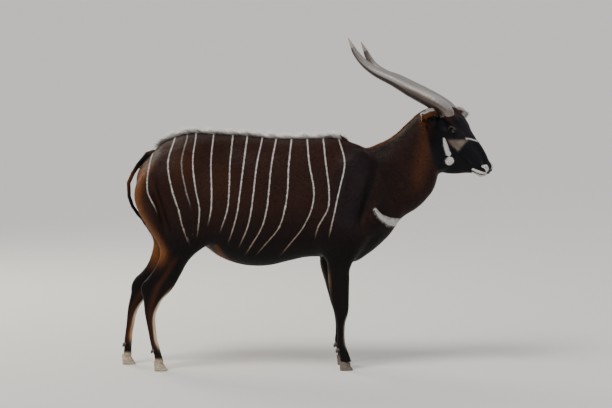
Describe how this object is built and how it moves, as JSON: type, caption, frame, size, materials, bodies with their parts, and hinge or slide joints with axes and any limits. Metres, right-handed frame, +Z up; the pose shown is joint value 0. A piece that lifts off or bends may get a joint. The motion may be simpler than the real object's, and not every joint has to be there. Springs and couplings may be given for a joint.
{
  "type": "bongo antelope model",
  "caption": "Life-size standing bull bongo antelope in dark coat, head turned slightly to its right, with lyre-shaped horns, broad ears and cloven hooves.",
  "frame": {"origin": "on the floor, under the middle of the model's bounding box", "axes": "+X towards the head, +Y to the animal's left, +Z up; the soles rest on z = 0"},
  "size_m": [2.0335, 0.5415, 1.8105],
  "materials": {
    "coat": "short glossy dark chestnut coat with thin white stripes and a white dorsal crest",
    "neck_coat": "short chestnut-brown coat with a white crescent on the chest",
    "face_coat": "very short near-black coat with white marks",
    "limb_coat": "short near-black coat with cream marks down the front of the shanks",
    "ear": "short orange-brown hair, white hair inside",
    "eye": "wet dark brown eye",
    "horn": "smooth grey-brown horn, pale along its ridge and at its tip",
    "claw": "dull brown hoof horn"
  },
  "bodies": {
    "root": {"head": "face_coat", "neck": "neck_coat", "torso": "coat", "tail_upper": "limb_coat", "tail_lower": "limb_coat", "leg_front_right": "limb_coat", "leg_front_left": "limb_coat", "leg_hind_right": "limb_coat", "leg_hind_left": "limb_coat", "ear_right": "ear", "ear_left": "ear", "eye_right": "eye", "eye_left": "eye", "horn_right": "horn", "horn_left": "horn", "claw_front_right_inner": "claw", "dewclaw_front_right_inner": "claw", "claw_front_right_outer": "claw", "dewclaw_front_right_outer": "claw", "claw_front_left_inner": "claw", "dewclaw_front_left_inner": "claw", "claw_front_left_outer": "claw", "dewclaw_front_left_outer": "claw", "claw_hind_right_inner": "claw", "dewclaw_hind_right_inner": "claw", "claw_hind_right_outer": "claw", "dewclaw_hind_right_outer": "claw", "claw_hind_left_inner": "claw", "dewclaw_hind_left_inner": "claw", "claw_hind_left_outer": "claw", "dewclaw_hind_left_outer": "claw"}
  },
  "joints": []
}
